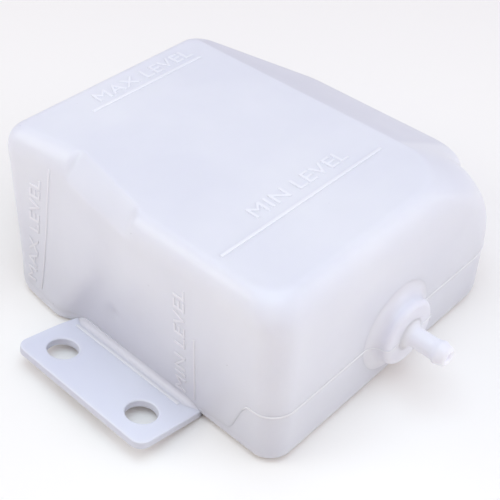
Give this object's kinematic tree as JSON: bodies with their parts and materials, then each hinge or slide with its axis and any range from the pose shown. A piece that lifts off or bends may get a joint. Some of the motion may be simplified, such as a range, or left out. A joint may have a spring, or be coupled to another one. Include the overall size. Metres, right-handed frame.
{
  "type": "coolant expansion tank",
  "caption": "Flat moulded plastic coolant expansion tank with a sloping shoulder, a bolt flange, a hose outlet on a round boss and a vented screw cap on its filler neck.",
  "frame": {"origin": "under the middle of the bounding box, on the flat back that the tank lies on", "axes": "+X along the hose outlet, which is the tank's bottom in use; -X along the filler neck, its top in use; +Z out of the marked front face; -Y out of the side wall with the bolt flange"},
  "size_m": [0.2186, 0.1934, 0.0844],
  "materials": {
    "front_shell": "milky polyethylene, satin",
    "rear_shell": "milky polyethylene, satin",
    "mounting_flange": "milky polyethylene, satin",
    "outlet_nipple": "white polyethylene, satin",
    "filler_neck": "white polyethylene, satin",
    "filler_cap": "black polypropylene, satin",
    "cap_gasket": "black rubber, matt",
    "breather_valve": "red-brown silicone rubber, matt"
  },
  "bodies": {
    "tank": {"front_shell": "front_shell", "rear_shell": "rear_shell", "mounting_flange": "mounting_flange", "outlet_nipple": "outlet_nipple", "filler_neck": "filler_neck"},
    "cap_lift": {"cap_gasket": "cap_gasket"},
    "cap": {"filler_cap": "filler_cap", "breather_valve": "breather_valve"}
  },
  "joints": [
    {"name": "cap_lift", "type": "slide", "parent": "tank", "child": "cap_lift", "axis": [-1, 0, 0], "range_m": [0, 0.0076]},
    {"name": "cap_turn", "type": "hinge", "parent": "cap_lift", "child": "cap", "pos_m": [-0.0813, -0.00429, 0.03], "axis": [-1, 0, 0], "range_deg": [0, 540]}
  ],
  "couplings": [
    {"joint": "cap_lift", "follows": "cap_turn", "m_per_rad": 0.00079577}
  ]
}
